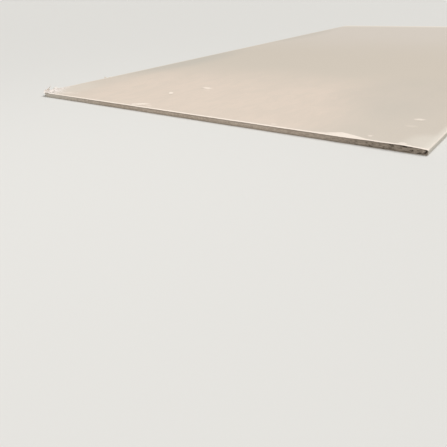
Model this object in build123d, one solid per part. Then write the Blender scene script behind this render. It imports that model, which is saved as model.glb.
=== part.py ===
from build123d import *
from math import cos, hypot, radians, sin
import os

# A tapered-edge gypsum wallboard, lying on its back with its face up. Millimetres.
# X runs across the width, Y along the length, and Z up from the floor that the board lies on.
# The origin is the middle of the back. The damaged end is the one at -Y.

# Whole board
board_width = 1220.0
board_length = 2440.0
board_thickness = 12.0

# Papers
face_paper_thickness = 0.4
back_paper_thickness = 0.35
flap_width = 24.0  # face paper folded under the board along each long edge
bare_flap_width = 12.0  # outer part of that flap, which the back paper stops short of

# Long edges
taper_width = 55.0
taper_depth = 1.3
face_edge_radius = 2.5
back_edge_radius = 1.5

# Corner knocked off at the left of the damaged end, widest underneath
break_along_end = 22.0
break_along_edge = 30.0
break_undercut = 11.0
paper_overhang = 2.0  # how far the torn papers reach past the broken core
# Unevenness of the break: share of the way along it, and how far inward
break_bites = [(0.14, 1.2), (0.3, -1.0), (0.46, 1.6), (0.63, -0.6), (0.82, 1.3)]

# Torn flap of face paper that stands up along that break
curl_start = 1.5  # from the cut end, along the break
curl_setback = 4.0  # of the hinge from the break, inward
curl_hinge = 33.0
curl_radius = 2.8
curl_turn = 130.0
curl_straight = 11.8
curl_root = 6.0  # flat stretch that joins the flap to the sheet of paper
# Corners of its free edge, the last one its tip: along the hinge and up the flap, as shares of both
curl_free_edge = [(0.62, 0.44), (1.38, 1.0)]

# Pits where the core has crumbled at the right of the damaged end
pits = [
    # from the right edge, height, length, depth
    (46.0, 10.3, 8.0, 1.1),
    (30.0, 4.2, 9.0, 1.4),
    (17.0, 7.0, 7.0, 1.2),
    (5.5, 7.9, 6.0, 1.7),
    (5.0, 3.6, 5.5, 1.5),
]

cut_margin = 5.0  # how far a cutting shape runs past what it cuts
break_margin = 25.0  # the same, along the broken corner, whose undercut makes it longer below

half_width = board_width / 2
half_length = board_length / 2


def wrapped_section():
    """Section across the board inside the line of its wrapped face paper: all but the back paper."""
    edge_top = board_thickness - taper_depth
    right = [
        (half_width, back_paper_thickness),
        (half_width, edge_top),
        (half_width - taper_width, board_thickness),
    ]
    left = [(-x, z) for x, z in reversed(right)]
    section = Sketch() + make_face(Polyline(*right, *left, close=True))
    section = fillet(section.vertices().group_by(Axis.Y)[1], face_edge_radius)
    return fillet(section.vertices().group_by(Axis.Y)[0], back_edge_radius)


def bare_back():
    """Section of the strip between the two flaps, where no face paper lies on the back."""
    strip = Rectangle(board_width - 2 * flap_width, board_thickness, align=(Align.CENTER, Align.MIN))
    return Pos(0, back_paper_thickness + face_paper_thickness - board_thickness) * strip


def along_board(section):
    """Runs a section of the board from one cut end to the other."""
    return extrude(Plane.XZ * section, amount=half_length, both=True)


def break_frame():
    """Start of the broken corner's upper edge, its direction, and the way out towards the lost corner."""
    span = hypot(break_along_end, break_along_edge)
    start = Vector(break_along_end - half_width, -half_length, board_thickness)
    along = Vector(-break_along_end, break_along_edge, 0) / span
    outward = Vector(-break_along_edge, -break_along_end, 0) / span
    return start, along, outward, span


def break_outline(grow, height):
    """Outline of the lost corner, seen from above, its broken side set inward by grow."""
    start, along, outward, span = break_frame()
    inward = outward * -1
    end_point = start + inward * grow - along * break_margin
    edge_point = start + inward * grow + along * (span + break_margin)
    broken = [start + along * (span * share) + inward * (grow + bite) for share, bite in break_bites]
    points = [end_point, *broken, edge_point, edge_point + outward * span, end_point + outward * span]
    return make_face(Polyline(*[(p.X, p.Y, height) for p in points], close=True))


def lost_corner(grow):
    """Solid of the lost corner, undercut from the face to the back."""
    slope = break_undercut / board_thickness
    low = break_outline(grow + break_undercut + slope * cut_margin, -cut_margin)
    high = break_outline(grow - slope * cut_margin, board_thickness + cut_margin)
    return loft([low, high], ruled=True)


def torn_flap():
    """Flap of face paper, hinged along the break, that curls up and back over the board."""
    start, along, outward, _ = break_frame()
    # The flap starts level with the tapered strip of the face, so its own frame has the strip's slope.
    slope = taper_depth / taper_width
    origin = start + along * curl_start - outward * curl_setback
    origin.Z = board_thickness - slope * (taper_width - half_width - origin.X)
    upward = Vector(-slope, 0, 1).normalized()
    along = Vector(along.X, along.Y, slope * along.X).normalized()
    outward = upward.cross(along)

    turn = radians(curl_turn)
    middle = face_paper_thickness / 2
    root = Line((-curl_root, -middle), (0, -middle))
    bend = CenterArc((0, curl_radius), curl_radius + middle, -90, curl_turn)
    lean = Line(bend @ 1, bend @ 1 + Vector(cos(turn), sin(turn)) * curl_straight)
    section = trace(Wire([root, bend, lean]), line_width=face_paper_thickness)
    section_plane = Plane(origin=origin, x_dir=outward, z_dir=along)
    strip = extrude(section_plane * section, amount=curl_hinge * curl_free_edge[-1][0])

    # The strip is cut to the flap's outline, which rises from nothing to the tip.
    height = curl_radius * (1 - cos(turn)) + curl_straight * sin(turn)
    side = [(0, -cut_margin), (curl_hinge, -cut_margin), (curl_hinge, 0)]
    side += [(curl_hinge * s, height * u) for s, u in reversed(curl_free_edge)] + [(0, 0)]
    side_plane = Plane(origin=origin, x_dir=along, z_dir=along.cross(upward))
    reach = curl_root + curl_radius + curl_straight
    return strip & extrude(side_plane * make_face(Polyline(*side, close=True)), amount=reach, both=True)


def spindle(length, depth):
    """Pit shape: thick in the middle and pointed at both ends, along X."""
    arc = ThreePointArc((-length / 2, 0), (0, depth), (length / 2, 0))
    return revolve(make_face(arc + Line(arc @ 1, arc @ 0)), Axis.X)


def gypsum_core():
    """Cast core, bare at both cut ends and stepped along its back for the folded face paper."""
    section = wrapped_section()
    inside = offset(section, -face_paper_thickness) + (section & bare_back())
    holes = [
        Pos(half_width - from_right, -half_length, height) * spindle(length, depth)
        for from_right, height, length, depth in pits
    ]
    return along_board(inside) - lost_corner(paper_overhang) - holes


def face_paper():
    """Face paper: over the face, down the long edges and folded under the back as two flaps."""
    section = wrapped_section()
    wrap = section - offset(section, -face_paper_thickness) - bare_back()
    return along_board(wrap) - lost_corner(0) + torn_flap()


def back_paper():
    """Back paper, laid over the two flaps and stopping short of the long edges."""
    sheet_width = board_width - 2 * bare_flap_width
    sheet = Rectangle(sheet_width, back_paper_thickness, align=(Align.CENTER, Align.MIN))
    return along_board(sheet) - lost_corner(0)


os.makedirs("parts", exist_ok=True)
export_step(gypsum_core(), "parts/gypsum_core.step")
export_step(face_paper(), "parts/face_paper.step")
export_step(back_paper(), "parts/back_paper.step")
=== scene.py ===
from math import cos, exp, hypot, pi, radians, sin
import bpy
import bmesh
from mathutils import Matrix, Vector, noise


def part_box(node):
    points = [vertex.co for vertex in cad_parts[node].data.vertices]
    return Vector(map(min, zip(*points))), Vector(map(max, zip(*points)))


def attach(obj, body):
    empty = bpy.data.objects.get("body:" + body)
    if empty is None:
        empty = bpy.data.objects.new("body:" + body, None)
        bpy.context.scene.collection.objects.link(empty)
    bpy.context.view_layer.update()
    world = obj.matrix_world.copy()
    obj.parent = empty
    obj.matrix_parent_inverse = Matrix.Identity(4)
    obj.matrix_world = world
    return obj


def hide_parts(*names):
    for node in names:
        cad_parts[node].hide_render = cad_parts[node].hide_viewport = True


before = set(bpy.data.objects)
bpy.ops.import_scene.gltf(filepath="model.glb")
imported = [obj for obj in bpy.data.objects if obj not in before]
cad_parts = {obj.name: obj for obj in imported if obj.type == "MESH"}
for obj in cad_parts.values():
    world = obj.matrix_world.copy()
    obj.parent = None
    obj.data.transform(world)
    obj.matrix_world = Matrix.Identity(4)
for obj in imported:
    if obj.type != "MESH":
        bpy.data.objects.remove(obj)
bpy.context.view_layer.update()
scene = bpy.context.scene

# Lengths are millimetres unless a note says otherwise. The board lies on its back with its face up:
# X across the width, Y along the length, Z up. The damaged cut end is the one at -Y, and a place on the
# face is given across the board and behind that end.
mm = 0.001
endless = 1e4                # half size of a spot that has no limit in a direction
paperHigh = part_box("face_paper")[1]
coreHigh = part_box("gypsum_core")[1]

board = {
    "halfWidth": paperHigh.x / mm,
    "halfLength": coreHigh.y / mm,
    "thickness": 12.0,
    "taperWidth": 55.0,
    "taperDepth": 1.3,
    "taperBlend": 9.0,       # how softly the taper leaves the flat of the face
    "faceRadius": 2.5,
    "backRadius": 1.5,
    "facePaper": 0.4,        # paper thicknesses
    "backPaper": 0.35,
    "flap": 24.0,            # face paper folded under the board
    "bareFlap": 12.0,        # outer part of it, which the back paper leaves bare
    "breakEnd": 22.0,        # broken corner, along the cut end and along the long edge
    "breakEdge": 30.0,
    "undercut": 11.0,
    "ripple": 0.16,          # faint waves of the whole face
    "straightFrom": 160.0,   # how far behind the damaged end the papers' rows of mesh lie straight
}
halfWidth, halfLength, thickness = board["halfWidth"], board["halfLength"], board["thickness"]
breakSpan = hypot(board["breakEnd"], board["breakEdge"])
breakOut = Vector((-board["breakEdge"], -board["breakEnd"], 0)) / breakSpan
breakAlong = Vector((-board["breakEnd"], board["breakEdge"], 0)) / breakSpan
breakStart = Vector((board["breakEnd"] - halfWidth, -halfLength, 0))


# Shape helpers

def smooth(low, high, value):
    t = min(1.0, max(0.0, (value - low) / (high - low)))
    return t * t * (3 - 2 * t)


def rough(x, y, z, size, seed=0.0):
    # noise of about -1 to 1 whose lumps are about size across
    return noise.noise(Vector((x / size + seed, y / size - seed, z / size + 3.7 * seed)))


def graded(start, stop, sizeAt):
    # stops from start to stop whose spacing follows sizeAt
    stops = [start]
    while stops[-1] < stop:
        stops.append(stops[-1] + sizeAt(stops[-1]))
    stretch = (stop - start) / (stops[-1] - start)
    return [start + (value - start) * stretch for value in stops]


def between(stops, value):
    # straight lines through (place, height) stops, level outside them
    if value <= stops[0][0]:
        return stops[0][1]
    for (x0, y0), (x1, y1) in zip(stops, stops[1:]):
        if value < x1:
            return y0 + (y1 - y0) * (value - x0) / (x1 - x0)
    return stops[-1][1]


def faceHeight(x):
    # top of the face at rest, with its two tapered strips
    run = abs(x) - (halfWidth - board["taperWidth"])
    blend = board["taperBlend"]
    if run < -blend:
        return thickness
    if run < blend:
        run = (run + blend) ** 2 / (4 * blend)
    return thickness - board["taperDepth"] * run / board["taperWidth"]


def ripple(x, y):
    return board["ripple"] * (rough(x, y * 0.6, 0, 260, 4.1) + 0.4 * rough(x, y * 0.5, 0, 70, 8.3))


def breakBack(x, z):
    # how far behind the cut end the broken corner begins, below zero where the end is whole
    inward = board["undercut"] * (thickness - z) / thickness
    return (breakSpan * inward - board["breakEdge"] * (x - breakStart.x)) / board["breakEnd"]


def softMax(value, blend=1.5):
    # value where it is above zero, else zero, with a short blend
    return 0.5 * (value + (value * value + blend * blend) ** 0.5) if value > -6 * blend else 0.0


def addObject(name, data):
    made = bpy.data.objects.new(name, data)
    scene.collection.objects.link(made)
    return made


def makePiece(name, points, faces, sharp, materials, indices=None):
    # sharp is the angle in degrees from which an edge isn't smoothed
    mesh = bpy.data.meshes.new(name)
    mesh.from_pydata([(x * mm, y * mm, z * mm) for x, y, z in points], [], faces)
    for material in materials:
        mesh.materials.append(material)
    if indices:
        mesh.polygons.foreach_set("material_index", indices)
    shape = bmesh.new()
    shape.from_mesh(mesh)
    bmesh.ops.recalc_face_normals(shape, faces=shape.faces)
    shape.to_mesh(mesh)
    shape.free()
    mesh.polygons.foreach_set("use_smooth", [True] * len(mesh.polygons))
    mesh.set_sharp_from_angle(angle=radians(sharp))
    return addObject(name, mesh)


def closedSheet(outer, inner, coarse):
    # outer and inner are grids of points, columns of rows. The inner side keeps only the rows in coarse.
    # The third list is each face's material: 0 on the outer side, 1 on the inner one and its edges.
    points, faces, inside = [], [], []
    columns, rows = len(outer), len(outer[0])
    for column in outer:
        points += column
    base = len(points)
    for column in inner:
        points += [column[row] for row in coarse]
    top = lambda i, j: i * rows + j
    low = lambda i, k: base + i * len(coarse) + k
    last = len(coarse) - 1
    for i in range(columns - 1):
        faces += [(top(i, j), top(i + 1, j), top(i + 1, j + 1), top(i, j + 1)) for j in range(rows - 1)]
    inside += [0] * len(faces)
    for i in range(columns - 1):
        faces += [(low(i, k), low(i, k + 1), low(i + 1, k + 1), low(i + 1, k)) for k in range(last)]
        faces.append((top(i, 0), low(i, 0), low(i + 1, 0), top(i + 1, 0)))
        faces.append((top(i, rows - 1), top(i + 1, rows - 1), low(i + 1, last), low(i, last)))
    for i in (0, columns - 1):
        for k in range(last):
            run = [top(i, j) for j in range(coarse[k], coarse[k + 1] + 1)]
            faces.append(tuple(run + [low(i, k + 1), low(i, k)]))
    inside += [1] * (len(faces) - len(inside))
    return points, faces, inside


# Node helpers

def feed(tree, socket, value):
    # links another node's socket, or sets a constant
    if isinstance(value, bpy.types.NodeSocket):
        tree.links.new(value, socket)
    else:
        socket.default_value = value


def node(tree, kind, inputs=None, **settings):
    made = tree.nodes.new("ShaderNode" + kind)
    for name, value in settings.items():
        setattr(made, name, value)
    for name, value in (inputs or {}).items():
        feed(tree, made.inputs[name], value)
    return made


def maths(tree, operation, *values, clamp=False):
    made = node(tree, "Math", dict(enumerate(values)), operation=operation, use_clamp=clamp)
    return made.outputs[0]


def plus(tree, first, second):
    return maths(tree, "ADD", first, second)


def minus(tree, first, second):
    return maths(tree, "SUBTRACT", first, second)


def times(tree, first, second):
    return maths(tree, "MULTIPLY", first, second)


def larger(tree, first, second):
    return maths(tree, "MAXIMUM", first, second)


def smaller(tree, first, second):
    return maths(tree, "MINIMUM", first, second)


def scaled(tree, value, scale, offset):
    return maths(tree, "MULTIPLY_ADD", value, scale, offset)


def vectorMaths(tree, operation, *values):
    made = node(tree, "VectorMath", dict(enumerate(values)), operation=operation)
    return made.outputs["Value" if operation in ("DOT_PRODUCT", "LENGTH") else "Vector"]


def split(tree, vector):
    return node(tree, "SeparateXYZ", {"Vector": vector}).outputs


def ranged(tree, value, low, high, toLow, toHigh, kind):
    ends = {"Value": value, "From Min": low, "From Max": high, "To Min": toLow, "To Max": toHigh}
    return node(tree, "MapRange", ends, interpolation_type=kind).outputs[0]


def fade(tree, value, low, high, toLow=0.0, toHigh=1.0):
    # smooth step of value from low to high
    return ranged(tree, value, low, high, toLow, toHigh, "SMOOTHSTEP")


def betweenNodes(tree, stops, value):
    # the same straight lines as between, for a material
    total = stops[0][1]
    for (x0, y0), (x1, y1) in zip(stops, stops[1:]):
        total = plus(tree, total, ranged(tree, value, x0, x1, 0.0, y1 - y0, "LINEAR"))
    return total


def linear(red, green, blue):
    # screen colour, 0 to 255, as the shader wants it
    parts = [value / 255 for value in (red, green, blue)]
    return (*[c / 12.92 if c <= 0.04045 else ((c + 0.055) / 1.055) ** 2.4 for c in parts], 1.0)


def mixColour(tree, amount, under, over, blend="MIX"):
    # a Mix node has its two colours at inputs 6 and 7, and the mixed one at output 2
    made = node(tree, "Mix", {0: amount, 6: under, 7: over}, data_type="RGBA", blend_type=blend)
    return made.outputs[2]


def tint(tree, colour, over, amount):
    # a screen colour laid over colour, as far as amount says
    return mixColour(tree, amount, colour, linear(*over))


def shaded(tree, colour, shade):
    grey = node(tree, "CombineColor", {0: shade, 1: shade, 2: shade}).outputs[0]
    return mixColour(tree, 1.0, colour, grey, "MULTIPLY")


def noiseAt(tree, vector, scale, detail, roughness, distortion=0.0):
    ends = {"Vector": vector, "Scale": scale, "Detail": detail, "Roughness": roughness}
    return node(tree, "TexNoise", {**ends, "Distortion": distortion}).outputs["Fac"]


def stretched(tree, vector, across, along, up=1.0):
    return vectorMaths(tree, "MULTIPLY", vector, (across, along, up))


def newGroup(name, inputs, outputs):
    group = bpy.data.node_groups.new(name, "ShaderNodeTree")
    for label, kind, value in inputs:
        socket = group.interface.new_socket(name=label, in_out="INPUT", socket_type="NodeSocket" + kind)
        if value is not None:
            socket.default_value = value
    for label, kind in outputs:
        group.interface.new_socket(name=label, in_out="OUTPUT", socket_type="NodeSocket" + kind)
    return group, group.nodes.new("NodeGroupInput").outputs, group.nodes.new("NodeGroupOutput").inputs


def useGroup(tree, group, **values):
    made = tree.nodes.new("ShaderNodeGroup")
    made.node_tree = group
    for label, value in values.items():
        feed(tree, made.inputs[label], value)
    return made.outputs


def newMaterial(name):
    material = bpy.data.materials.new(name)
    material.use_nodes = True
    tree = material.node_tree
    where = node(tree, "TexCoord").outputs["Object"]
    where = vectorMaths(tree, "MULTIPLY", where, (1 / mm, 1 / mm, 1 / mm))
    return material, tree, tree.nodes["Principled BSDF"], where


def wireShader(tree, shader, colour, roughness, specular, height, strength, distance):
    # strength and distance are the bump's, distance in metres
    feed(tree, shader.inputs["Base Color"], colour)
    feed(tree, shader.inputs["Roughness"], roughness)
    shader.inputs["Specular IOR Level"].default_value = specular
    bump = node(tree, "Bump", {"Strength": strength, "Distance": distance, "Height": height})
    feed(tree, shader.inputs["Normal"], bump.outputs[0])


# Shared effects. Each Vector is millimetres.

def makePaperFibre():
    # paper: short fibres laid mostly along the board, with cloudy formation
    tree, given, out = newGroup(
        "paperFibre",
        [("Vector", "Vector", None), ("Size", "Float", 1.0), ("Lay", "Float", 0.35)],
        [("Fibre", "Float"), ("Cloud", "Float"), ("Speck", "Float")])
    laid = node(tree, "CombineXYZ", {"X": 1.0, "Y": given["Lay"], "Z": 1.0}).outputs[0]
    laid = vectorMaths(tree, "MULTIPLY", given["Vector"], laid)
    finer = maths(tree, "DIVIDE", 1.6, given["Size"])
    fibre = noiseAt(tree, laid, finer, 4, 0.62, 0.8)
    thread = noiseAt(tree, laid, times(tree, finer, 0.33), 2, 0.5, 2.2)
    feed(tree, out["Fibre"], scaled(tree, fibre, 0.6, times(tree, thread, 0.4)))
    feed(tree, out["Cloud"], noiseAt(tree, laid, times(tree, finer, 0.02), 5, 0.6, 0.4))
    speck = noiseAt(tree, given["Vector"], times(tree, finer, 0.28), 1, 0.5)
    feed(tree, out["Speck"], fade(tree, speck, 0.7, 0.78))
    return tree


def makeEdgeWearAndHighlight():
    # pale band that hugs an edge and breaks up inwards, for wear and for painted highlights. Distance is
    # from the edge.
    tree, given, out = newGroup(
        "edgeWearAndHighlight",
        [("Vector", "Vector", None), ("Distance", "Float", 0.0), ("Width", "Float", 8.0),
         ("Breakup", "Float", 0.5)],
        [("Mask", "Float")])
    patch = noiseAt(tree, given["Vector"], 0.045, 5, 0.65, 0.6)
    patch = scaled(tree, minus(tree, patch, 0.5), given["Breakup"], 0.5)
    reach = times(tree, given["Width"], times(tree, patch, 2.0))
    share = maths(tree, "DIVIDE", given["Distance"], larger(tree, reach, 0.3))
    near = maths(tree, "SUBTRACT", 1.0, share, clamp=True)
    feed(tree, out["Mask"], fade(tree, near, 0.0, 0.7))
    return tree


def makeGypsumDust():
    # powder: soft gypsum dust with small grains in it
    tree, given, out = newGroup(
        "gypsumDust",
        [("Vector", "Vector", None), ("Amount", "Float", 0.5), ("Grain", "Float", 1.5)],
        [("Mask", "Float"), ("Height", "Float")])
    drift = noiseAt(tree, given["Vector"], 0.07, 6, 0.66, 0.7)
    grain = noiseAt(tree, given["Vector"], maths(tree, "DIVIDE", 1.0, given["Grain"]), 3, 0.7)
    mixed = scaled(tree, grain, 0.35, times(tree, drift, 0.65))
    low = minus(tree, 0.78, times(tree, given["Amount"], 0.5))
    mask = fade(tree, mixed, low, plus(tree, low, 0.16))
    mask = times(tree, mask, fade(tree, given["Amount"], 0.0, 0.12))
    feed(tree, out["Mask"], mask)
    feed(tree, out["Height"], times(tree, mask, grain))
    return tree


def makeSoftSpot():
    # spot: soft, ragged oval, such as a scuff. Centre and Half are millimetres, Turn is radians.
    tree, given, out = newGroup(
        "softSpot",
        [("Vector", "Vector", None), ("Centre", "Vector", None), ("Half", "Vector", (10, 10, endless)),
         ("Turn", "Float", 0.0), ("Breakup", "Float", 0.5)],
        [("Mask", "Float")])
    moved = vectorMaths(tree, "SUBTRACT", given["Vector"], given["Centre"])
    turned = node(tree, "VectorRotate", {"Vector": moved, "Angle": given["Turn"]}, rotation_type="Z_AXIS")
    away = vectorMaths(tree, "LENGTH", vectorMaths(tree, "DIVIDE", turned.outputs[0], given["Half"]))
    ragged = minus(tree, noiseAt(tree, given["Vector"], 0.22, 7, 0.72, 0.5), 0.5)
    feed(tree, out["Mask"], fade(tree, scaled(tree, ragged, given["Breakup"], away), 1.0, 0.35))
    return tree


def makeFoamPores():
    # foam: round air pores of two sizes in cast gypsum
    tree, given, out = newGroup(
        "foamPores",
        [("Vector", "Vector", None), ("Pore", "Float", 1.2)],
        [("Pores", "Float"), ("Height", "Float")])
    scale = maths(tree, "DIVIDE", 1.0, given["Pore"])
    bent = vectorMaths(tree, "ADD", given["Vector"], (0.37, 0.11, 0.59))
    big = node(tree, "TexVoronoi", {"Vector": bent, "Scale": times(tree, scale, 0.42), "Randomness": 1.0})
    small = node(tree, "TexVoronoi", {"Vector": bent, "Scale": scale, "Randomness": 1.0})
    bigPore = fade(tree, big.outputs["Distance"], 0.34, 0.12)
    smallPore = fade(tree, small.outputs["Distance"], 0.42, 0.16)
    sparse = fade(tree, noiseAt(tree, given["Vector"], 0.22, 2, 0.5), 0.44, 0.58)
    pores = larger(tree, times(tree, bigPore, sparse), times(tree, smallPore, 0.55))
    feed(tree, out["Pores"], pores)
    feed(tree, out["Height"], minus(tree, 1.0, pores))
    return tree


paperFibre, edgeWearAndHighlight, gypsumDust = makePaperFibre(), makeEdgeWearAndHighlight(), makeGypsumDust()
softSpot, foamPores = makeSoftSpot(), makeFoamPores()
print("shared effects made")


def wearAndHighlightMask(tree, where, distance, width, breakup):
    return useGroup(tree, edgeWearAndHighlight, Vector=where, Distance=distance, Width=width, Breakup=breakup)["Mask"]


def spotMask(tree, where, place, half, breakup, turn=0.0):
    # spot on the face, through the whole thickness
    values = {"Centre": (place[0], place[1] - halfLength, thickness), "Half": (*half, endless)}
    return useGroup(tree, softSpot, Vector=where, Turn=turn, Breakup=breakup, **values)["Mask"]


# Materials

faceFinish = {
    "ivory": (224, 209, 195),
    "coolAndShade": (209, 199, 186),        # clouds in the ivory, and painted shade over its middle
    "distant": (214, 205, 195),     # painted shade over its farther half
    "sides": (208, 199, 187),       # beside the long edges
    "dusk": (199, 192, 181),        # duller patch on the left
    "rubbedAndHighlight": (252, 240, 228),      # worn rims and scuffs, partly a painted highlight
    "darkEndEdge": (140, 129, 115),      # long edges darker where they meet the damaged end
    "scuffShadow": (186, 171, 155),   # painted shadow beside each scuff
    "edgeHighlight": (226, 219, 208),   # painted highlight along the edges
    "edgeSideShade": (207, 203, 192),    # painted shade on the long edges themselves
    "powder": (250, 242, 237),      # dust round the broken corner
    "torn": (254, 252, 247),        # paper that stands up there, paler torn paper with a painted highlight
    "hollowShade": (182, 169, 159),      # painted shade between the lumps there
    "speck": (204, 190, 174),
    "inside": ((222, 211, 198), (240, 232, 222)),   # fibres of the inner side, dark and light
    "insideDust": (250, 245, 240),
    "roughness": (0.72, 0.9),
    "coolAndShadeFrom": (260, 760),         # behind the damaged end, where the two tones of painted shade come in
    "distantFrom": (980, 2000),
    "wander": 260.0,                # of those two borders
    "stripWidth": 17.0,             # painted highlight strip and wear along the long edges
    "wearWidth": 5.5,
    "rimWidth": 9.0,                # wear and painted highlight along the cut ends
    # pale rim of the damaged end, scraped and with a painted highlight: place across the board, width
    "lip": [(-40, 0), (60, 4), (360, 9), (400, 17), (429, 33), (463, 22), (498, 7), (570, 0)],
}

# Wide soft patches of the face, duller ones and painted highlights: colour, place, half sizes, strength
patches = [
    ("dusk", (-600, 710), (175, 520), 0.9),
    ("dusk", (-600, 1800), (130, 520), 0.5),
    ("dusk", (430, 430), (230, 330), 0.45),
    ("edgeHighlight", (598, 45), (55, 75), 0.6),
    ("edgeHighlight", (-560, 80), (110, 150), 0.3),
]

# Scuffs of the face: place, half sizes, turn in degrees, strength
scuffs = [
    ((-189, 177), (8, 20), -42, 0.9),
    ((-132, 283), (26, 13), 14, 0.75),
    ((-118, 258), (24, 8), 14, 0.2),
    ((537, 201), (15, 11), -14, 0.6),
    ((537, 140), (17, 12), -10, 0.15),
    ((-166, 26), (32, 11), -30, 0.95),
    ((-182, 15), (9, 8), 0, 0.9),
    ((-129, 21), (12, 8), 0, 0.35),
    ((560, 10), (11, 10), 0, 0.6),
    ((269, 19), (10, 8), 0, 0.3),
    ((488, 33), (6, 9), 0, 0.45),
    ((-505, 34), (30, 20), 0, 0.25),
    ((-603, 302), (5, 7), 0, 0.8),
]


def buildFacePaper():
    finish = faceFinish
    material, tree, shader, where = newMaterial("facePaperIvory")
    x, y, z = split(tree, where)
    fromNear, fromFar = plus(tree, y, halfLength), minus(tree, halfLength, y)
    paper = useGroup(tree, paperFibre, Vector=where)

    # ivory with soft clouds, painted shade cooler and darker towards the far end, and cooler beside the long
    # edges
    clouds = fade(tree, paper["Cloud"], 0.36, 0.66, 0.0, 0.3)
    colour = tint(tree, linear(*finish["ivory"]), finish["coolAndShade"], clouds)
    wide = noiseAt(tree, stretched(tree, where, 1.0, 0.7), 0.0032, 3, 0.5)
    drift = scaled(tree, wide, finish["wander"], minus(tree, y, finish["wander"] / 2))
    for name in ("coolAndShade", "distant"):
        start, stop = finish[name + "From"]
        colour = tint(tree, colour, finish[name], fade(tree, drift, start - halfLength, stop - halfLength))
    side = plus(tree, fade(tree, x, 290, 470, 0.0, 0.85), fade(tree, x, -390, -570, 0.0, 0.6))
    side = times(tree, side, fade(tree, y, 600 - halfLength, 200 - halfLength))
    colour = tint(tree, colour, finish["sides"], side)
    for name, place, half, strength in patches:
        patch = spotMask(tree, where, place, half, 0.5)
        colour = tint(tree, colour, finish[name], times(tree, patch, strength))
    colour = shaded(tree, colour, fade(tree, paper["Fibre"], 0.35, 0.65, 0.955, 1.02))
    colour = tint(tree, colour, finish["speck"], times(tree, paper["Speck"], 0.45))

    # long edges: a painted highlight strip, wear that is partly painted highlight, and painted shade on
    # their sides
    fromEdge = minus(tree, halfWidth, maths(tree, "ABSOLUTE", x))
    strip = wearAndHighlightMask(tree, where, fromEdge, finish["stripWidth"], 0.35)
    colour = tint(tree, colour, finish["edgeHighlight"], times(tree, strip, 0.75))
    # wear along the long edges, partly a painted highlight
    wearAndHighlight = wearAndHighlightMask(tree, where, fromEdge, finish["wearWidth"], 1.2)
    colour = tint(tree, colour, finish["rubbedAndHighlight"], times(tree, wearAndHighlight, 0.4))
    # painted shade on the upright long sides
    colour = tint(tree, colour, finish["edgeSideShade"], fade(tree, z, 10.2, 8.0, 0.0, 0.85))

    # cut ends: a painted highlight strip along the far end, and wear with painted highlight along both ends
    rim = wearAndHighlightMask(tree, where, smaller(tree, fromNear, fromFar), finish["rimWidth"], 1.1)
    farStrip = fade(tree, scaled(tree, wide, 60.0, fromFar), 170.0, 50.0, 0.0, 0.7)
    colour = tint(tree, colour, finish["edgeHighlight"], farStrip)
    farRim = fade(tree, scaled(tree, wide, 20.0, fromFar), 50.0, 12.0, 0.0, 0.6)
    colour = tint(tree, colour, finish["rubbedAndHighlight"], farRim)

    # the damaged end's own pale rim: a scraped strip of changing width, paler both as wear and as painted
    # highlight, and a thin painted highlight line before it
    lipWidth = betweenNodes(tree, finish["lip"], x)
    wobble = noiseAt(tree, stretched(tree, where, 1.0, 0.6), 0.09, 8, 0.72, 0.5)
    raggedNear = plus(tree, fromNear, scaled(tree, wobble, 9.0, -4.5))
    lip = fade(tree, minus(tree, lipWidth, raggedNear), 0.0, 5.0)
    lip = times(tree, lip, fade(tree, x, 385, 428, 0.42, 0.88))
    scraped = noiseAt(tree, stretched(tree, where, 0.5, 1.0), 0.16, 6, 0.7, 0.3)
    lip = times(tree, lip, fade(tree, scraped, 0.34, 0.6, 0.72, 1.0))
    lip = times(tree, lip, fade(tree, lipWidth, 1.0, 5.0))
    bright = fade(tree, raggedNear, fade(tree, x, 470, 540, 11.0, 7.0), 4.0, 0.0, 0.9)
    wornAndHighlight = larger(tree, larger(tree, rim, bright), lip)

    # scuffs, each with a thin painted shadow beside it
    shadowBeside = 0.0
    for place, (halfX, halfY), degrees, strength in scuffs:
        turn = radians(degrees)
        spot = spotMask(tree, where, place, (halfX, halfY), 1.7, turn)
        wornAndHighlight = larger(tree, wornAndHighlight, times(tree, spot, strength))
        beside = (place[0] - 1.1 * halfY * sin(turn), place[1] - 1.1 * halfY * cos(turn))
        smear = spotMask(tree, where, beside, (0.9 * halfX, 0.4 * halfY), 1.5, turn)
        shadowBeside = larger(tree, shadowBeside, times(tree, smear, 0.4 * strength))
    wornAndHighlight = times(tree, wornAndHighlight, fade(tree, z, 7.6, 9.8, 0.25, 1.0))
    colour = tint(tree, colour, finish["scuffShadow"], shadowBeside)
    # worn paper, partly a painted highlight on the rims, lip and scuffs
    colour = tint(tree, colour, finish["rubbedAndHighlight"], wornAndHighlight)
    darkEndEdge = times(tree, fade(tree, z, 10.2, 8.4), fade(tree, fromNear, 5.0, 0.8, 0.0, 0.9))
    colour = tint(tree, colour, finish["darkEndEdge"], darkEndEdge)

    # broken corner and the powder round it
    fromBreak = vectorMaths(tree, "SUBTRACT", where, tuple(breakStart))
    inward = vectorMaths(tree, "DOT_PRODUCT", fromBreak, tuple(-breakOut))
    ragged = scaled(tree, noiseAt(tree, where, 0.12, 4, 0.6), 22.0, minus(tree, inward, 11.0))
    torn = fade(tree, ragged, 14.0, 2.0)
    crushed = fade(tree, inward, 150.0, 10.0)
    second = spotMask(tree, where, (-470, 38), (42, 34), 1.0, 0.2)
    edgeDust = fade(tree, plus(tree, x, halfWidth), 34.0, 4.0)
    edgeDust = times(tree, edgeDust, fade(tree, fromNear, 260.0, 120.0))
    amount = larger(tree, times(tree, second, 0.55), times(tree, edgeDust, 0.6))
    amount = larger(tree, times(tree, crushed, 0.9), amount)
    dust = useGroup(tree, gypsumDust, Vector=where, Amount=amount, Grain=1.8)
    powder = larger(tree, times(tree, dust["Mask"], 0.8), torn)
    colour = tint(tree, colour, finish["powder"], powder)
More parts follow.
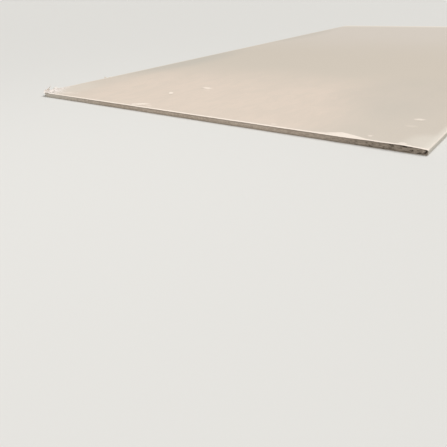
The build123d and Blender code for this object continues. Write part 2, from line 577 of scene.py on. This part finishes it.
    # painted shade in the hollows between the lumps
    hollowShade = fade(tree, noiseAt(tree, where, 0.11, 5, 0.66), 0.5, 0.4)
    hollowShade = times(tree, hollowShade, fade(tree, inward, 70.0, 26.0))
    hollowShade = times(tree, hollowShade, fade(tree, inward, 2.0, 9.0))
    colour = tint(tree, colour, finish["hollowShade"], times(tree, hollowShade, 0.8))
    # painted highlight: whatever stands above the face is made paler, the torn flap most
    colour = tint(tree, colour, finish["torn"], fade(tree, z, 13.2, 16.5, 0.0, 0.5))

    roughness = fade(tree, scaled(tree, powder, 0.5, paper["Fibre"]), 0.3, 0.9, *finish["roughness"])
    height = scaled(tree, wornAndHighlight, 0.25, scaled(tree, dust["Height"], 1.6, paper["Fibre"]))
    height = scaled(tree, times(tree, torn, noiseAt(tree, where, 0.9, 4, 0.7)), 2.5, height)
    wireShader(tree, shader, colour, roughness, 0.22, height, 0.35, 0.00022)
    return material


def buildPaperInside():
    # inner side of the face paper, torn free of the gypsum
    material, tree, shader, where = newMaterial("facePaperInside")
    paper = useGroup(tree, paperFibre, Vector=where, Size=1.4, Lay=0.6)
    dark, light = faceFinish["inside"]
    colour = tint(tree, linear(*dark), light, fade(tree, paper["Fibre"], 0.34, 0.66))
    dust = useGroup(tree, gypsumDust, Vector=where, Amount=0.6, Grain=1.2)
    colour = tint(tree, colour, faceFinish["insideDust"], dust["Mask"])
    roughness = fade(tree, paper["Fibre"], 0.3, 0.7, 0.86, 0.96)
    height = plus(tree, paper["Fibre"], dust["Height"])
    wireShader(tree, shader, colour, roughness, 0.2, height, 0.6, 0.0003)
    return material


gypsumFinish = {
    "body": (228, 213, 197),
    "light": (238, 226, 213),
    "dark": (202, 185, 169),
    # painted shade in pores and under the paper's edge
    "cavityShade": (156, 140, 125),
    "crumb": (238, 229, 218),
    "grime": (166, 153, 139),    # towards the crumbled right of the damaged end
    # painted shade in the pits and crumbled spots of the damaged end
    "pitShade": (72, 63, 55),
    "powder": (246, 242, 232),   # towards its broken left
    "poreSize": 1.25,
}


def buildGypsum():
    finish = gypsumFinish
    material, tree, shader, where = newMaterial("castGypsum")
    x, y, z = split(tree, where)
    foam = useGroup(tree, foamPores, Vector=where, Pore=finish["poreSize"])
    body = noiseAt(tree, stretched(tree, where, 0.35, 1.0), 0.3, 5, 0.62, 0.3)
    colour = tint(tree, linear(*finish["dark"]), finish["body"], fade(tree, body, 0.36, 0.64))
    bands = noiseAt(tree, stretched(tree, where, 0.02, 1.0, 1.3), 0.55, 3, 0.6)
    colour = tint(tree, colour, finish["light"], fade(tree, bands, 0.45, 0.66, 0.0, 0.6))

    # darker gypsum next to the two papers, and darker towards the bottom
    fromSkin = smaller(tree, minus(tree, thickness, z), z)
    skin = fade(tree, scaled(tree, bands, 2.4, minus(tree, fromSkin, 1.2)), 1.9, 0.5)
    colour = tint(tree, colour, finish["dark"], times(tree, skin, 0.45))
    colour = tint(tree, colour, finish["dark"], fade(tree, z, 4.5, 0.5, 0.0, 0.3))
    # painted shade in the pores
    colour = tint(tree, colour, finish["cavityShade"], times(tree, foam["Pores"], 0.6))

    # the damaged end: a painted shadow line under the paper, powder at the left, grime and painted shade in
    # the pits at the right
    damaged = fade(tree, y, 0, 100 - halfLength)
    # painted shadow of the paper's overhang along the top of the end
    under = fade(tree, scaled(tree, bands, 2.0, minus(tree, thickness - 1.0, z)), 5.0, 1.6)
    colour = tint(tree, colour, finish["cavityShade"], times(tree, under, times(tree, damaged, 0.55)))
    powdered = times(tree, fade(tree, x, -260, -570), times(tree, damaged, 0.55))
    colour = tint(tree, colour, finish["powder"], powdered)
    mottle = noiseAt(tree, stretched(tree, where, 0.4, 1.0), 0.24, 6, 0.7, 0.4)
    worst = times(tree, fade(tree, x, 250, 575), damaged)
    grime = times(tree, worst, fade(tree, mottle, 0.3, 0.6, 0.35, 0.95))
    colour = tint(tree, colour, finish["grime"], grime)
    # painted shade in the pits, and in dark crumbled spots at the right
    dark = times(tree, fade(tree, mottle, 0.52, 0.62), times(tree, worst, worst))
    for fromRight, height, halfX, halfZ, deep in gypsumCore["pits"]:
        centre, half = (halfWidth - fromRight, -halfLength, height), (1.2 * halfX, endless, 1.2 * halfZ)
        pitShade = useGroup(tree, softSpot, Vector=where, Centre=centre, Half=half, Breakup=0.6)["Mask"]
        dark = larger(tree, dark, times(tree, pitShade, min(1.0, deep / 4)))
    colour = tint(tree, colour, finish["pitShade"], times(tree, dark, times(tree, damaged, 0.85)))

    dust = useGroup(tree, gypsumDust, Vector=where, Amount=0.3, Grain=0.9)
    colour = tint(tree, colour, finish["crumb"], times(tree, dust["Mask"], 0.7))
    height = plus(tree, scaled(tree, foam["Height"], 1.0, times(tree, body, 1.4)), dust["Height"])
    wireShader(tree, shader, colour, fade(tree, body, 0.3, 0.7, 0.85, 0.98), 0.2, height, 0.7, 0.0006)
    return material


backFinish = {
    "base": (176, 160, 142),
    "warm": (160, 142, 122),
    "fleck": (122, 110, 98),
    "pale": (206, 196, 182),     # rubbed edges and dust
    "rubWidth": 10.0,
}


def buildBackPaper():
    finish = backFinish
    material, tree, shader, where = newMaterial("backPaperGrey")
    x, y = split(tree, where)[:2]
    paper = useGroup(tree, paperFibre, Vector=where, Size=1.5, Lay=0.3)
    colour = tint(tree, linear(*finish["base"]), finish["warm"], fade(tree, paper["Cloud"], 0.36, 0.64))
    colour = shaded(tree, colour, fade(tree, paper["Fibre"], 0.33, 0.67, 0.88, 1.06))
    colour = tint(tree, colour, finish["fleck"], times(tree, paper["Speck"], 0.7))
    fromEnd = minus(tree, halfLength, maths(tree, "ABSOLUTE", y))
    fromSide = minus(tree, halfWidth - board["bareFlap"], maths(tree, "ABSOLUTE", x))
    rub = wearAndHighlightMask(tree, where, smaller(tree, fromEnd, fromSide), finish["rubWidth"], 1.2)
    dust = useGroup(tree, gypsumDust, Vector=where, Amount=0.22, Grain=2.0)
    pale = larger(tree, times(tree, rub, 0.6), times(tree, dust["Mask"], 0.6))
    colour = tint(tree, colour, finish["pale"], pale)
    roughness = fade(tree, paper["Fibre"], 0.3, 0.7, 0.8, 0.95)
    height = plus(tree, paper["Fibre"], dust["Height"])
    wireShader(tree, shader, colour, roughness, 0.22, height, 0.5, 0.0003)
    return material


# Face paper

facePaper = {
    "burr": (0.2, 1.0),              # shortest and longest ragged fringe at the cut ends
    "tear": 1.3,                     # raggedness of the torn corner
    "curlRows": 8,                   # rows of the mesh in its free edge
    "curlRadius": 2.4,               # torn flap that stands up at the broken corner
    "curlReach": 14.6,
    "curlTurn": 88.0,                # degrees
    "curlFrom": 1.5, "curlTo": 35.0,       # along the break
    "curlSetback": 2.6, "curlDeep": 6.0,   # of its hinge, inward, and more of it at its tall end
    "curlLean": (0.2, 1.0, 0.0),     # how far the flap leans as it rises
    "lipLift": 0.6,                  # swollen paper under the pale rim of the damaged end
    # place across the board, height of the paper that is loose there
    "rimLift": [(440, 0), (490, 0.8), (530, 0.9), (560, 1.6), (600, 0.8), (608, 0.3)],
    "rimLiftDeep": 50,               # how far behind the end it reaches
    "looseRim": (9, 0.28),           # width and height of the rims that are loose here and there
    "crush": 5.2,                    # lumps behind the broken corner
    "crushDeep": 60,
    "crease": 7.6,                   # fold of loosened paper on the long edge by the corner
    "creaseAt": 63,
    "blister": 1.5,                  # height of the strongest scuff
    "edgeBits": [(278, 5, 4.6), (299, 6, 1.0)],   # torn bits of the left edge: place, half length, height
}


def faceLift(x, y):
    # how far the face stands above its plain section
    piece = facePaper
    v = y + halfLength
    fromLeft = x + halfWidth
    lift = ripple(x, y)

    # swollen paper under the pale rim, and paper that is loose near the right corner
    reach = between(faceFinish["lip"], x)
    if v < reach:
        swell = piece["lipLift"] * smooth(330, 410, x) * smooth(0, 6, v) * smooth(reach, reach - 8, v)
        lift += swell * (0.8 + 0.5 * rough(x, 0, 0, 34, 2.2))
    if v < piece["rimLiftDeep"] and x > piece["rimLift"][0][0]:
        lift += between(piece["rimLift"], x) * smooth(piece["rimLiftDeep"], 8, v)
    width, height = piece["looseRim"]
    for away, row, seed in ((v, 0, 5.5), (halfLength - y, 9, 7.5)):
        if away < width:
            lift += height * (1 - away / width) ** 2 * max(0.0, rough(x, row, 0, 17, seed) + 0.15)

    for (sx, sv), (halfX, halfY), degrees, strength in scuffs:
        dx, dy = x - sx, v - sv
        if abs(dx) < 2.2 * halfX and abs(dy) < 2.2 * halfX:
            c, s = cos(radians(degrees)), sin(radians(degrees))
            away = ((dx * c - dy * s) / halfX) ** 2 + ((dx * s + dy * c) / (0.8 * halfY)) ** 2
            lift += piece["blister"] * strength * exp(-2.2 * away) * (1 + 0.5 * rough(x, y, 0, 5, 1.9))

    # crushed zone behind the broken corner, with a notch in it, and the fold beside it
    inward = -(Vector((x, y, 0)) - breakStart).dot(breakOut)
    if inward < piece["crushDeep"]:
        near = smooth(52, 6, inward) * smooth(-1.0, 2.5, inward)
        lumps = max(0.0, rough(x, y, 0, 8.5, 3.1) + 0.15) ** 1.4 + 0.4 * max(0.0, rough(x, y, 0, 3.4, 6.6))
        notch = exp(-((v - 46) / 6) ** 2) * smooth(24, 5, fromLeft)
        lift += piece["crush"] * near * lumps * (1 - notch)
    if fromLeft < 20 and v < 100:
        crest = exp(-((v - piece["creaseAt"] + 0.35 * fromLeft) / 7.2) ** 2)
        crest *= 1.0 + 0.3 * rough(x, y, 0, 6, 9.1)
        lift += piece["crease"] * crest * smooth(20, 4, fromLeft)

    if fromLeft < 10:
        for place, half, height in piece["edgeBits"]:
            run = (v - place) / half * (1 if v > place else 2)
            lift += height * exp(-run ** 2) * smooth(10, 2, fromLeft) * (1 + 0.5 * rough(x, y, 0, 3, 2.8))
    return lift


def faceColumns():
    # outer line of the wrapped paper across the board, from one folded flap to the other: x, z and normal
    low = board["backPaper"]
    faceRadius, backRadius = board["faceRadius"], board["backRadius"]
    tilt = board["taperDepth"] / hypot(board["taperWidth"], board["taperDepth"])
    centreZ = faceHeight(halfWidth - faceRadius) - faceRadius
    backSteps, faceSteps = 4, 5    # of the two rounded bends

    def onBend(radius, z, turn):
        return halfWidth - radius + radius * cos(turn), z + radius * sin(turn), cos(turn), sin(turn)

    flap = graded(halfWidth - board["flap"], halfWidth - backRadius, lambda x: 2.8)
    side = graded(low + backRadius, centreZ, lambda z: 1.1)[1:]
    half = [(x, low, 0.0, -1.0) for x in flap]
    half += [onBend(backRadius, low + backRadius, -pi / 2 + step / backSteps * pi / 2)
             for step in range(1, backSteps + 1)]
    half += [(halfWidth, z, 1.0, 0.0) for z in side]
    half += [onBend(faceRadius, centreZ, step / faceSteps * (pi / 2 - tilt))
             for step in range(1, faceSteps + 1)]
    left = [(-x, z, -nx, nz) for x, z, nx, nz in half]
    right = list(reversed(half))

    def spacing(x):
        # finest at the broken corner and at the right end, finer again at the scuffs
        if x < -545:
            return 0.85 + 0.012 * max(0, x + 585)
        if x > 540:
            return 1.5
        if -240 < x < -80:
            return 3.0
        return 1.5 + 2.7 * smooth(-545, -470, x) - 1.8 * smooth(330, 420, x)

    edge = right[0][0]
    middle = []
    for x in graded(-edge, edge, spacing)[1:-1]:
        slope = faceHeight(x + 0.5) - faceHeight(x - 0.5)
        length = hypot(1, slope)
        middle.append((x, faceHeight(x), -slope / length, 1 / length))
    return left + middle + right


def endRows():
    # distances behind the damaged end, finest by the broken corner and at the torn bits of the left edge
    def spacing(v):
        toFar = 2 * halfLength - v
        if v < 75:
            return 0.6 if v < 3 else 2.1
        if v < 320:
            return 2.4 if v > 262 else min(6, 2.1 + (v - 75) * 0.08)
        return max(1.6, min(60, 6 + (v - 320) * 0.15, toFar * 0.2))
    return graded(0, 2 * halfLength, spacing)


def fadeBack(back, v):
    # rows near the damaged end follow its broken front, less and less
    return back * max(0.0, 1 - v / board["straightFrom"])


def paperStart(x, z, seed):
    # ragged front of a paper, how far behind the cut end
    back = softMax(breakBack(x, z))
    if back > 0.5:
        ragged = rough(x, z, 0, 4.3, seed) + 0.6 * rough(x, z, 0, 1.7, seed + 2)
        back += facePaper["tear"] * min(1, back / 6) * ragged
    return back


def buildFaceMesh():
    piece = facePaper
    columns, rows = faceColumns(), endRows()
    sheet, curlRows, curlTurn = board["facePaper"], piece["curlRows"], radians(piece["curlTurn"])
    curlFrom, curlTo = piece["curlFrom"], piece["curlTo"]
    shortest, longest = piece["burr"]
    outer, inner = [], []
    # rows that the inside keeps: all of the free edge and the four behind it, then one in 14
    fine, total = curlRows + 4, curlRows + len(rows)
    coarse = list(range(fine)) + list(range(fine, total - 5, 14)) + [total - 4, total - 1]

    for x, z, nx, nz in columns:
        flat = nz > 0.9
        normal, outward = Vector((nx, 0, nz)), Vector((0, -1, 0))
        back = paperStart(x, z, 1.3)
        # share is how far along the break the column starts, inCurl how much of it stands up in the flap
        share, inCurl = -9.0, 0
        if x < breakStart.x + 4:
            share = (x - breakStart.x) * breakAlong.x + back * breakAlong.y
        if flat:
            inCurl = smooth(curlFrom - 3, curlFrom + 3, share) * smooth(curlTo + 2, curlTo - 1.5, share)
        back += (piece["curlSetback"] + piece["curlDeep"] * smooth(8, curlTo, share)) * inCurl
        if flat and back > 0.3:
            outward = outward.lerp(breakOut, min(1, back / 4)).normalized()
        fringe = max(0, 0.5 + rough(x, z, 0, 2.3, 2.7)) * max(0.1, 0.6 + rough(x, z, 0, 23, 7.7))
        reach = shortest + (longest - shortest) * fringe
        if inCurl > 0:
            grown = max(0, share - curlFrom) / (curlTo - curlFrom)
            high = piece["curlReach"] * inCurl * (0.12 + 0.88 * grown ** 1.1)
            reach += high * (1 + 0.1 * rough(x, z, 0, 2, 3.9))
        farFringe = shortest + (longest - shortest) * max(0, 0.5 + rough(x, z, 40, 2.3, 5.1))

        # free edge: a fringe of fibres, and at the broken corner the flap that curls up
        column, under = [], []
        lift = faceLift(x, -halfLength + back) if nz > 0.1 else 0.0
        hinge = Vector((x, -halfLength + back, z)) + normal * lift
        for k in range(curlRows, 0, -1):
            run = reach * k / curlRows
            turn, ahead, rise = 0.0, run, 0.0
            if inCurl > 0.05:
                radius = piece["curlRadius"] / inCurl
                turn = min(run / radius, curlTurn)
                straight = run - radius * turn
                ahead = radius * sin(turn) + straight * cos(turn)
                rise = radius * (1 - cos(turn)) + straight * sin(turn)
            point = hinge + outward * ahead + normal * rise + Vector(piece["curlLean"]) * rise
            facing = normal * cos(turn) - outward * sin(turn)
            column.append(point)
            under.append(point - facing * sheet)

        for v in rows:
            y = -halfLength + v + fadeBack(back, v)
            y += farFringe * smooth(2 * halfLength - 3, 2 * halfLength, v)
            lift = faceLift(x, y) * smooth(0.1, 0.9, nz) if nz > 0.1 else 0.0
            point = Vector((x, y, z)) + normal * lift
            column.append(point)
            under.append(point - normal * sheet)
        # the few rows that the inside keeps lie under every fold between them
        depths = [point.z for point in under]
        for before, row, after in zip(coarse[fine - 1:], coarse[fine:], coarse[fine + 1:]):
            under[row].z = min(depths[before:after + 1])
        outer.append(column)
        inner.append(under)
    return closedSheet(outer, inner, coarse)


points, faces, inside = buildFaceMesh()
finishes = [buildFacePaper(), buildPaperInside()]
faceSheet = makePiece("facePaperSheet", points, faces, 50, finishes, inside)
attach(faceSheet, "root")
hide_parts("face_paper")
print("face paper:", len(faces), "faces")


# Gypsum core

gypsumCore = {
    "rowHeight": 0.75,
    "grain": 0.28,               # depth of the sawn roughness
    "chips": 0.9,                # crumbled edges under the papers
    "fracture": 1.6,             # lumps of the broken corner
    "overhang": 2.0,             # of the torn papers past the broken gypsum
    "recess": 0.25,              # of the gypsum behind the papers' cut edges
    "skinDeep": 6,               # how far behind the ends the papers begin to hide the core
    # crumbled pits of the damaged end: from the right edge, height, half length, half height, depth
    "pits": [(44, 10.9, 5.6, 1.1, 4.0), (30, 4.2, 5.2, 1.4, 2.2), (17, 7.0, 4.6, 1.1, 1.8),
             (3.6, 9.9, 3.2, 1.6, 6.0), (3.2, 6.6, 2.2, 2.2, 5.0), (5.4, 4.0, 3.2, 1.6, 5.0),
             (70, 3.4, 4.2, 2.6, 1.8), (88, 1.2, 3.4, 1.2, 1.2), (16, 1.4, 7.0, 1.0, 2.4)],
}


def coreColumns():
    # places across the board with the lowest and highest gypsum there
    skin = board["facePaper"]
    edge = halfWidth - skin
    topRadius, lowRadius = board["faceRadius"] - skin, board["backRadius"] - skin
    centreTop = faceHeight(halfWidth - board["faceRadius"]) - board["faceRadius"]
    centreLow = board["backPaper"] + board["backRadius"]

    def span(x):
        reach = abs(x)
        high = faceHeight(x) - skin
        if reach > edge - topRadius:
            high = centreTop + max(0.0, topRadius ** 2 - (reach - (edge - topRadius)) ** 2) ** 0.5
        low = board["backPaper"] + (skin if reach > halfWidth - board["flap"] else 0.0)
        if reach > edge - lowRadius:
            low = centreLow - max(0.0, lowRadius ** 2 - (reach - (edge - lowRadius)) ** 2) ** 0.5
        return low, high

    def spacing(x):
        if x < -545 or x > 535:
            return 0.95
        return 1.0 + 1.1 * smooth(-545, -500, x) - 0.9 * smooth(480, 535, x)

    # close stops round the bends of the edges, and a pair at each step for the folded paper
    flat, step = edge - topRadius, halfWidth - board["flap"]
    close = [edge - gap for gap in (0.001, 0.15, 0.5, 1.1)] + [step - 0.03, step + 0.03]
    places = graded(-flat, flat, spacing) + close + [-x for x in close]
    return [(x, *span(x)) for x in sorted(places)]


def sawnDepth(x, row, z, seeds):
    piece = gypsumCore
    grain = rough(x * 0.4, row, z, 2.6, seeds[0]) + 0.6 * rough(x, row, z, 1.1, seeds[1])
    return piece["recess"] + piece["grain"] * (0.5 + grain)


def endDepth(x, z, low, high):
    # how far the gypsum of the damaged end lies behind the end's plane
    piece = gypsumCore
    depth = sawnDepth(x, 0, z, (1.1, 4.4))
    depth += 0.35 * max(0.0, rough(x, 0, z * 2.5, 24, 6.1))
    broken = max(0.0, rough(x, 0, z * 0.2, 9.0, 2.9) + 0.2)
    rightEnd = smooth(470, 560, x)
    depth += piece["chips"] * (0.5 + 1.3 * rightEnd) * broken * smooth(2.6, 0.2, min(z - low, high - z))
    depth += rightEnd * 0.8 * max(0.0, rough(x, 3, z, 5.2, 8.8))
    for fromRight, height, halfX, halfZ, deep in piece["pits"]:
        away = ((x - halfWidth + fromRight) / halfX) ** 2 + ((z - height) / halfZ) ** 2
        if away < 4:
            depth += deep * exp(-1.6 * away)
    return depth


def farDepth(x, z, low, high):
    broken = max(0.0, rough(x, 50, z * 0.2, 9.0, 5.9) + 0.2)
    chip = gypsumCore["chips"] * 0.4 * broken * smooth(2.6, 0.2, min(z - low, high - z))
    return sawnDepth(x, 50, z, (3.1, 2.4)) + chip


def coreStart(x, z):
    # front of the gypsum, behind that of the torn papers
    return softMax(breakBack(x, z) + gypsumCore["overhang"] * breakSpan / board["breakEnd"])


def buildCoreMesh():
    piece = gypsumCore
    columns = coreColumns()
    last = round(thickness / piece["rowHeight"])
    points, faces, near, far = [], [], [], []

    def add(x, y, z):
        points.append(Vector((x, y, z)))
        return len(points) - 1

    for x, low, high in columns:
        nearColumn, farColumn = [], []
        for k in range(last + 1):
            z = low + (high - low) * k / last
            back = coreStart(x, z)
            depth = endDepth(x, z, low, high)
            if back > 0.2:
                chunk = rough(x, back, z, 6.5, 5.7) + 0.5 * rough(x, back, z, 2.8, 8.2)
                chunk += 0.25 * rough(x, back, z, 1.2, 9.9)
                depth += piece["fracture"] * min(1.0, back / 6) * (chunk + 0.3) - 0.2
            lift = ripple(x, -halfLength + back) if k == last else 0.0
            nearColumn.append(add(x, -halfLength + back + depth, z + lift))
            farColumn.append(add(x, halfLength - farDepth(x, z, low, high), z))
        near.append(nearColumn)
        far.append(farColumn)
    for i in range(len(columns) - 1):
        for k in range(last):
            faces.append((near[i][k], near[i + 1][k], near[i + 1][k + 1], near[i][k + 1]))
            faces.append((far[i][k], far[i][k + 1], far[i + 1][k + 1], far[i + 1][k]))

    # ring of the section behind each end, joined by long strips that the papers hide
    wide = len(columns)
    order = [(i, 0) for i in range(wide)] + [(wide - 1, k) for k in range(1, last + 1)]
    order += [(i, last) for i in range(wide - 2, -1, -1)] + [(0, k) for k in range(last - 1, 0, -1)]
    rings = [[near[i][k] for i, k in order], [], [], [far[i][k] for i, k in order]]
    for i, k in order:
        x, low, high = columns[i]
        z = low + (high - low) * k / last
        rings[1].append(add(x, coreStart(x, z) + piece["skinDeep"] - halfLength, z))
        rings[2].append(add(x, halfLength - piece["skinDeep"], z))
    for first, second in zip(rings, rings[1:]):
        for j in range(len(order)):
            following = (j + 1) % len(order)
            faces.append((first[j], second[j], second[following], first[following]))
    return points, faces


points, faces = buildCoreMesh()
castCore = makePiece("castGypsumCore", points, faces, 60, [buildGypsum()])
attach(castCore, "root")
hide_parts("gypsum_core")
print("gypsum core:", len(faces), "faces")


# Back paper

backPaper = {
    "column": 4.0,               # spacing across the board
    "edgeWander": 0.35,          # of its long edges
    "burr": 0.7,                 # raggedness of its cut ends
}


def buildBackMesh():
    piece = backPaper
    reach = halfWidth - board["bareFlap"]
    outer, inner = [], []
    rows = endRows()
    rows = rows[:8] + rows[8:-8:3] + rows[-8:]
    places = graded(-reach, reach, lambda x: 1.2 if x < -560 else piece["column"])
    for number, x in enumerate(places):
        edge = number in (0, len(places) - 1)
        back = paperStart(x, 0, 6.1) + piece["burr"] * (0.5 + rough(x, 0, 0, 3.1, 1.4)) * 0.6 - 0.4
        farBack = piece["burr"] * rough(x, 70, 0, 3.1, 2.4) * 0.6
        column, under = [], []
        for v in rows:
            y = -halfLength + v + fadeBack(back, v) + farBack * smooth(2 * halfLength - 4, 2 * halfLength, v)
            wander = piece["edgeWander"] * rough(0, y, 0, 60, 3.3) if edge else 0.0
            column.append(Vector((x + wander, y, 0)))
            under.append(Vector((x + wander, y, board["backPaper"])))
        outer.append(column)
        inner.append(under)
    return closedSheet(outer, inner, list(range(len(rows))))


points, faces = buildBackMesh()[:2]
backSheet = makePiece("backPaperSheet", points, faces, 40, [buildBackPaper()])
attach(backSheet, "root")
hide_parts("back_paper")
print("back paper:", len(faces), "faces")


# Floor, light and camera

stage = {
    "floor": 80.0,               # metres
    "floorColour": (226, 225, 222),
    "skyColour": (225, 223, 218),
    "skyStrength": 0.448,
    "lampStrength": 2.14,
    "lampSpread": 50.0,          # degrees, wide enough for soft shadows
    "lampPlace": (0.22, 0.36, 1.0),
    "lampAim": (0.0, 0.0, 0.0),
    "nearPower": 1.75,
    "nearSize": 1.3,             # metres
    "nearPlace": (0.1, -1.75, 1.15),
    "nearAim": (0.0, -1.15, 0.0),
}


def addLight(light, place, aim):
    made = addObject(light.name, light)
    made.location = place
    made.rotation_euler = (Vector(place) - Vector(aim)).to_track_quat("Z", "Y").to_euler()


half = stage["floor"] / 2
floorMesh = bpy.data.meshes.new("studioFloor")
floorCorners = [(-half, -half, 0), (half, -half, 0), (half, half, 0), (-half, half, 0)]
floorMesh.from_pydata(floorCorners, [], [(0, 1, 2, 3)])
floor = addObject("studioFloor", floorMesh)
floorPaint = bpy.data.materials.new("studioFloor")
floorPaint.use_nodes = True
shader = floorPaint.node_tree.nodes["Principled BSDF"]
shader.inputs["Base Color"].default_value = linear(*stage["floorColour"])
shader.inputs["Roughness"].default_value = 0.9
shader.inputs["Specular IOR Level"].default_value = 0.1
floorMesh.materials.append(floorPaint)

# The camera sees the sky brighter than it lights the board. A Mix node has plain values at inputs 2 and 3.
world = bpy.data.worlds.new("softSky")
scene.world = world
world.use_nodes = True
tree = world.node_tree
path = node(tree, "LightPath").outputs
seen = larger(tree, path["Is Camera Ray"], larger(tree, path["Is Glossy Ray"], path["Is Transmission Ray"]))
strength = node(tree, "Mix", {0: seen, 2: stage["skyStrength"], 3: 1.0}).outputs[0]
background = tree.nodes["Background"]
background.inputs["Color"].default_value = linear(*stage["skyColour"])
feed(tree, background.inputs["Strength"], strength)

lamp = bpy.data.lights.new("softOverhead", "SUN")
lamp.energy = stage["lampStrength"]
lamp.angle = radians(stage["lampSpread"])
addLight(lamp, stage["lampPlace"], stage["lampAim"])

nearLamp = bpy.data.lights.new("nearSoftbox", "AREA")
nearLamp.shape = "DISK"
nearLamp.size = stage["nearSize"]
nearLamp.energy = stage["nearPower"]
addLight(nearLamp, stage["nearPlace"], stage["nearAim"])

view = {
    "place": (0.8022, -2.0934, 0.2956),      # metres
    "right": (0.80324, 0.59414, -0.04227),
    "down": (0.24186, -0.39017, -0.88840),
    "ahead": (-0.54434, 0.70338, -0.45710),
    "focal": 462.2,                          # in pixels of the picture
    "picture": 447.0,
    "sensor": 36.0,
    "farthest": 200.0,                       # metres
}
cameraData = bpy.data.cameras.new("yardView")
cameraData.sensor_width = view["sensor"]
cameraData.lens = view["sensor"] * view["focal"] / view["picture"]
cameraData.clip_end = view["farthest"]
camera = addObject("yardView", cameraData)
axes = Matrix((Vector(view["right"]), -Vector(view["down"]), -Vector(view["ahead"]))).transposed()
camera.matrix_world = Matrix.Translation(view["place"]) @ axes.to_4x4()
scene.camera = camera
scene.view_settings.view_transform = "Standard"
print("floor, light and camera placed")
